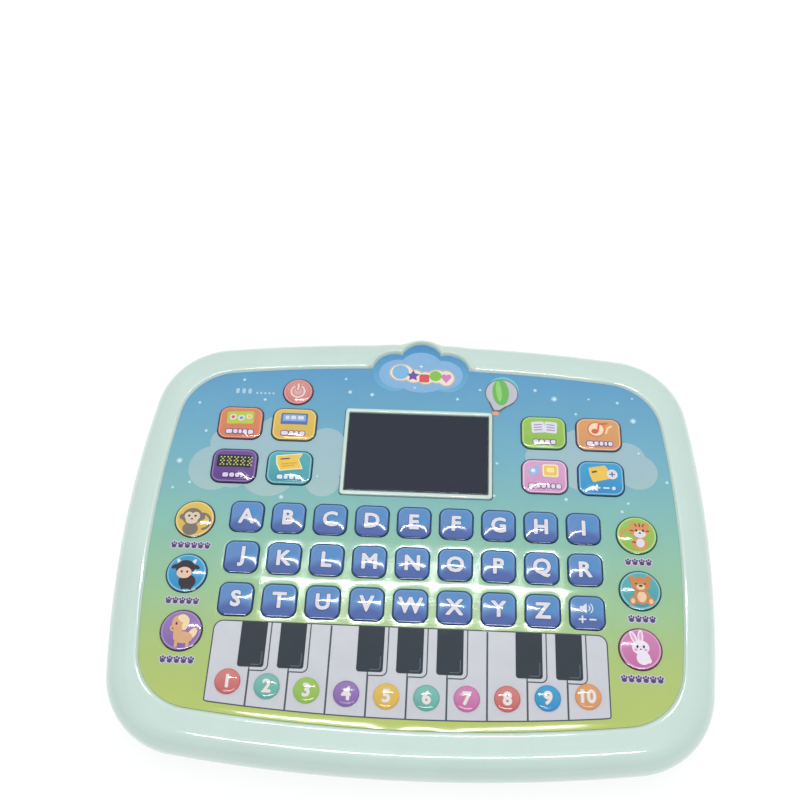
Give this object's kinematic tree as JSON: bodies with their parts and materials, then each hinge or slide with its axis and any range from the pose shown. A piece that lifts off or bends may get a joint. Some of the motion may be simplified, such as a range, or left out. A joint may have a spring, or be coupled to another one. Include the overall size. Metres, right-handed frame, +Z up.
{
  "type": "toy learning tablet",
  "caption": "Flat toy computer: bulging rounded casing, printed key sheet with domed letter, mode, picture and piano keys, dark screen window and battery door underneath.",
  "frame": {"origin": "under the middle of the casing, on the surface that the feet stand on, with the toy lying on its back", "axes": "+X to the user's right along the letter rows, +Y away from the user towards the screen and the badge, +Z up out of the keys"},
  "size_m": [0.24, 0.19, 0.0264],
  "materials": {
    "casing": "satin-gloss moulded ABS, mint",
    "printed_sheet": "gloss printed PET film, sky blue at the top to yellow-green at the bottom",
    "clear_film": "satin film with printed contacts",
    "screen": "gloss smoked window",
    "board": "solder mask over glass-fibre board",
    "speaker": "matt black paper cone and steel frame",
    "wire": "red or black PVC insulation of the inner wires, drawn in the visual model only",
    "steel": "bright zinc-plated steel of the screws and battery springs, drawn in the visual model only",
    "key_blue": "gloss embossed film, blue",
    "key_orange": "gloss embossed film, orange",
    "key_apricot": "gloss embossed film, apricot",
    "key_yellow": "gloss embossed film, yellow",
    "key_green": "gloss embossed film, green",
    "key_purple": "gloss embossed film, purple",
    "key_teal": "gloss embossed film, teal",
    "key_pink": "gloss embossed film, pink",
    "key_magenta": "gloss embossed film, magenta",
    "key_coral": "gloss embossed film, coral red",
    "key_sky": "gloss embossed film, sky blue"
  },
  "bodies": {
    "casing": {"front_shell": "casing", "rear_shell": "casing", "graphic_overlay": "printed_sheet", "switch_film": "clear_film", "screen_window": "screen", "circuit_board": "board", "speaker": "speaker"},
    "key_a": {"key_a": "key_blue"},
    "key_b": {"key_b": "key_blue"},
    "key_c": {"key_c": "key_blue"},
    "key_d": {"key_d": "key_blue"},
    "key_e": {"key_e": "key_blue"},
    "key_f": {"key_f": "key_blue"},
    "key_g": {"key_g": "key_blue"},
    "key_h": {"key_h": "key_blue"},
    "key_i": {"key_i": "key_blue"},
    "key_j": {"key_j": "key_blue"},
    "key_k": {"key_k": "key_blue"},
    "key_l": {"key_l": "key_blue"},
    "key_m": {"key_m": "key_blue"},
    "key_n": {"key_n": "key_blue"},
    "key_o": {"key_o": "key_blue"},
    "key_p": {"key_p": "key_blue"},
    "key_q": {"key_q": "key_blue"},
    "key_r": {"key_r": "key_blue"},
    "key_s": {"key_s": "key_blue"},
    "key_t": {"key_t": "key_blue"},
    "key_u": {"key_u": "key_blue"},
    "key_v": {"key_v": "key_blue"},
    "key_w": {"key_w": "key_blue"},
    "key_x": {"key_x": "key_blue"},
    "key_y": {"key_y": "key_blue"},
    "key_z": {"key_z": "key_blue"},
    "key_volume": {"key_volume": "key_blue"},
    "mode_key_orange": {"mode_key_orange": "key_orange"},
    "mode_key_yellow": {"mode_key_yellow": "key_yellow"},
    "mode_key_green": {"mode_key_green": "key_green"},
    "mode_key_apricot": {"mode_key_apricot": "key_apricot"},
    "mode_key_purple": {"mode_key_purple": "key_purple"},
    "mode_key_teal": {"mode_key_teal": "key_teal"},
    "mode_key_pink": {"mode_key_pink": "key_pink"},
    "mode_key_blue": {"mode_key_blue": "key_sky"},
    "animal_key_left_1": {"animal_key_left_1": "key_yellow"},
    "animal_key_left_2": {"animal_key_left_2": "key_sky"},
    "animal_key_left_3": {"animal_key_left_3": "key_purple"},
    "animal_key_right_1": {"animal_key_right_1": "key_green"},
    "animal_key_right_2": {"animal_key_right_2": "key_teal"},
    "animal_key_right_3": {"animal_key_right_3": "key_magenta"},
    "power_key": {"power_key": "key_coral"},
    "piano_key_1": {"piano_key_1": "key_coral"},
    "piano_key_2": {"piano_key_2": "key_teal"},
    "piano_key_3": {"piano_key_3": "key_green"},
    "piano_key_4": {"piano_key_4": "key_purple"},
    "piano_key_5": {"piano_key_5": "key_yellow"},
    "piano_key_6": {"piano_key_6": "key_teal"},
    "piano_key_7": {"piano_key_7": "key_magenta"},
    "piano_key_8": {"piano_key_8": "key_coral"},
    "piano_key_9": {"piano_key_9": "key_sky"},
    "piano_key_10": {"piano_key_10": "key_apricot"},
    "battery_door": {"battery_door": "casing"}
  },
  "joints": [
    {"name": "battery_door_swing", "type": "hinge", "parent": "casing", "child": "battery_door", "pos_m": [0, -0.0112, 0.0012], "axis": [1, 0, 0], "range_deg": [0, 70]},
    {"name": "key_a_press", "type": "slide", "parent": "casing", "child": "key_a", "axis": [0, 0, -1], "range_m": [0, 0.0006], "stiffness_N_per_m": 1000},
    {"name": "mode_key_orange_press", "type": "slide", "parent": "casing", "child": "mode_key_orange", "axis": [0, 0, -1], "range_m": [0, 0.0006], "stiffness_N_per_m": 1000},
    {"name": "animal_key_left_1_press", "type": "slide", "parent": "casing", "child": "animal_key_left_1", "axis": [0, 0, -1], "range_m": [0, 0.0006], "stiffness_N_per_m": 1000},
    {"name": "power_key_press", "type": "slide", "parent": "casing", "child": "power_key", "axis": [0, 0, -1], "range_m": [0, 0.0006], "stiffness_N_per_m": 1000},
    {"name": "piano_key_1_press", "type": "slide", "parent": "casing", "child": "piano_key_1", "axis": [0, 0, -1], "range_m": [0, 0.0006], "stiffness_N_per_m": 1000},
    {"name": "key_volume_press", "type": "slide", "parent": "casing", "child": "key_volume", "axis": [0, 0, -1], "range_m": [0, 0.0006], "stiffness_N_per_m": 1000},
    {"name": "key_b_press", "type": "slide", "parent": "casing", "child": "key_b", "axis": [0, 0, -1], "range_m": [0, 0.0006], "stiffness_N_per_m": 1000},
    {"name": "key_c_press", "type": "slide", "parent": "casing", "child": "key_c", "axis": [0, 0, -1], "range_m": [0, 0.0006], "stiffness_N_per_m": 1000},
    {"name": "key_d_press", "type": "slide", "parent": "casing", "child": "key_d", "axis": [0, 0, -1], "range_m": [0, 0.0006], "stiffness_N_per_m": 1000},
    {"name": "key_e_press", "type": "slide", "parent": "casing", "child": "key_e", "axis": [0, 0, -1], "range_m": [0, 0.0006], "stiffness_N_per_m": 1000},
    {"name": "key_f_press", "type": "slide", "parent": "casing", "child": "key_f", "axis": [0, 0, -1], "range_m": [0, 0.0006], "stiffness_N_per_m": 1000},
    {"name": "key_g_press", "type": "slide", "parent": "casing", "child": "key_g", "axis": [0, 0, -1], "range_m": [0, 0.0006], "stiffness_N_per_m": 1000},
    {"name": "key_h_press", "type": "slide", "parent": "casing", "child": "key_h", "axis": [0, 0, -1], "range_m": [0, 0.0006], "stiffness_N_per_m": 1000},
    {"name": "key_i_press", "type": "slide", "parent": "casing", "child": "key_i", "axis": [0, 0, -1], "range_m": [0, 0.0006], "stiffness_N_per_m": 1000},
    {"name": "key_j_press", "type": "slide", "parent": "casing", "child": "key_j", "axis": [0, 0, -1], "range_m": [0, 0.0006], "stiffness_N_per_m": 1000},
    {"name": "key_k_press", "type": "slide", "parent": "casing", "child": "key_k", "axis": [0, 0, -1], "range_m": [0, 0.0006], "stiffness_N_per_m": 1000},
    {"name": "key_l_press", "type": "slide", "parent": "casing", "child": "key_l", "axis": [0, 0, -1], "range_m": [0, 0.0006], "stiffness_N_per_m": 1000},
    {"name": "key_m_press", "type": "slide", "parent": "casing", "child": "key_m", "axis": [0, 0, -1], "range_m": [0, 0.0006], "stiffness_N_per_m": 1000},
    {"name": "key_n_press", "type": "slide", "parent": "casing", "child": "key_n", "axis": [0, 0, -1], "range_m": [0, 0.0006], "stiffness_N_per_m": 1000},
    {"name": "key_o_press", "type": "slide", "parent": "casing", "child": "key_o", "axis": [0, 0, -1], "range_m": [0, 0.0006], "stiffness_N_per_m": 1000},
    {"name": "key_p_press", "type": "slide", "parent": "casing", "child": "key_p", "axis": [0, 0, -1], "range_m": [0, 0.0006], "stiffness_N_per_m": 1000},
    {"name": "key_q_press", "type": "slide", "parent": "casing", "child": "key_q", "axis": [0, 0, -1], "range_m": [0, 0.0006], "stiffness_N_per_m": 1000},
    {"name": "key_r_press", "type": "slide", "parent": "casing", "child": "key_r", "axis": [0, 0, -1], "range_m": [0, 0.0006], "stiffness_N_per_m": 1000},
    {"name": "key_s_press", "type": "slide", "parent": "casing", "child": "key_s", "axis": [0, 0, -1], "range_m": [0, 0.0006], "stiffness_N_per_m": 1000},
    {"name": "key_t_press", "type": "slide", "parent": "casing", "child": "key_t", "axis": [0, 0, -1], "range_m": [0, 0.0006], "stiffness_N_per_m": 1000},
    {"name": "key_u_press", "type": "slide", "parent": "casing", "child": "key_u", "axis": [0, 0, -1], "range_m": [0, 0.0006], "stiffness_N_per_m": 1000},
    {"name": "key_v_press", "type": "slide", "parent": "casing", "child": "key_v", "axis": [0, 0, -1], "range_m": [0, 0.0006], "stiffness_N_per_m": 1000},
    {"name": "key_w_press", "type": "slide", "parent": "casing", "child": "key_w", "axis": [0, 0, -1], "range_m": [0, 0.0006], "stiffness_N_per_m": 1000},
    {"name": "key_x_press", "type": "slide", "parent": "casing", "child": "key_x", "axis": [0, 0, -1], "range_m": [0, 0.0006], "stiffness_N_per_m": 1000},
    {"name": "key_y_press", "type": "slide", "parent": "casing", "child": "key_y", "axis": [0, 0, -1], "range_m": [0, 0.0006], "stiffness_N_per_m": 1000},
    {"name": "key_z_press", "type": "slide", "parent": "casing", "child": "key_z", "axis": [0, 0, -1], "range_m": [0, 0.0006], "stiffness_N_per_m": 1000},
    {"name": "mode_key_yellow_press", "type": "slide", "parent": "casing", "child": "mode_key_yellow", "axis": [0, 0, -1], "range_m": [0, 0.0006], "stiffness_N_per_m": 1000},
    {"name": "mode_key_green_press", "type": "slide", "parent": "casing", "child": "mode_key_green", "axis": [0, 0, -1], "range_m": [0, 0.0006], "stiffness_N_per_m": 1000},
    {"name": "mode_key_apricot_press", "type": "slide", "parent": "casing", "child": "mode_key_apricot", "axis": [0, 0, -1], "range_m": [0, 0.0006], "stiffness_N_per_m": 1000},
    {"name": "mode_key_purple_press", "type": "slide", "parent": "casing", "child": "mode_key_purple", "axis": [0, 0, -1], "range_m": [0, 0.0006], "stiffness_N_per_m": 1000},
    {"name": "mode_key_teal_press", "type": "slide", "parent": "casing", "child": "mode_key_teal", "axis": [0, 0, -1], "range_m": [0, 0.0006], "stiffness_N_per_m": 1000},
    {"name": "mode_key_pink_press", "type": "slide", "parent": "casing", "child": "mode_key_pink", "axis": [0, 0, -1], "range_m": [0, 0.0006], "stiffness_N_per_m": 1000},
    {"name": "mode_key_blue_press", "type": "slide", "parent": "casing", "child": "mode_key_blue", "axis": [0, 0, -1], "range_m": [0, 0.0006], "stiffness_N_per_m": 1000},
    {"name": "animal_key_left_2_press", "type": "slide", "parent": "casing", "child": "animal_key_left_2", "axis": [0, 0, -1], "range_m": [0, 0.0006], "stiffness_N_per_m": 1000},
    {"name": "animal_key_left_3_press", "type": "slide", "parent": "casing", "child": "animal_key_left_3", "axis": [0, 0, -1], "range_m": [0, 0.0006], "stiffness_N_per_m": 1000},
    {"name": "animal_key_right_1_press", "type": "slide", "parent": "casing", "child": "animal_key_right_1", "axis": [0, 0, -1], "range_m": [0, 0.0006], "stiffness_N_per_m": 1000},
    {"name": "animal_key_right_2_press", "type": "slide", "parent": "casing", "child": "animal_key_right_2", "axis": [0, 0, -1], "range_m": [0, 0.0006], "stiffness_N_per_m": 1000},
    {"name": "animal_key_right_3_press", "type": "slide", "parent": "casing", "child": "animal_key_right_3", "axis": [0, 0, -1], "range_m": [0, 0.0006], "stiffness_N_per_m": 1000},
    {"name": "piano_key_2_press", "type": "slide", "parent": "casing", "child": "piano_key_2", "axis": [0, 0, -1], "range_m": [0, 0.0006], "stiffness_N_per_m": 1000},
    {"name": "piano_key_3_press", "type": "slide", "parent": "casing", "child": "piano_key_3", "axis": [0, 0, -1], "range_m": [0, 0.0006], "stiffness_N_per_m": 1000},
    {"name": "piano_key_4_press", "type": "slide", "parent": "casing", "child": "piano_key_4", "axis": [0, 0, -1], "range_m": [0, 0.0006], "stiffness_N_per_m": 1000},
    {"name": "piano_key_5_press", "type": "slide", "parent": "casing", "child": "piano_key_5", "axis": [0, 0, -1], "range_m": [0, 0.0006], "stiffness_N_per_m": 1000},
    {"name": "piano_key_6_press", "type": "slide", "parent": "casing", "child": "piano_key_6", "axis": [0, 0, -1], "range_m": [0, 0.0006], "stiffness_N_per_m": 1000},
    {"name": "piano_key_7_press", "type": "slide", "parent": "casing", "child": "piano_key_7", "axis": [0, 0, -1], "range_m": [0, 0.0006], "stiffness_N_per_m": 1000},
    {"name": "piano_key_8_press", "type": "slide", "parent": "casing", "child": "piano_key_8", "axis": [0, 0, -1], "range_m": [0, 0.0006], "stiffness_N_per_m": 1000},
    {"name": "piano_key_9_press", "type": "slide", "parent": "casing", "child": "piano_key_9", "axis": [0, 0, -1], "range_m": [0, 0.0006], "stiffness_N_per_m": 1000},
    {"name": "piano_key_10_press", "type": "slide", "parent": "casing", "child": "piano_key_10", "axis": [0, 0, -1], "range_m": [0, 0.0006], "stiffness_N_per_m": 1000}
  ]
}
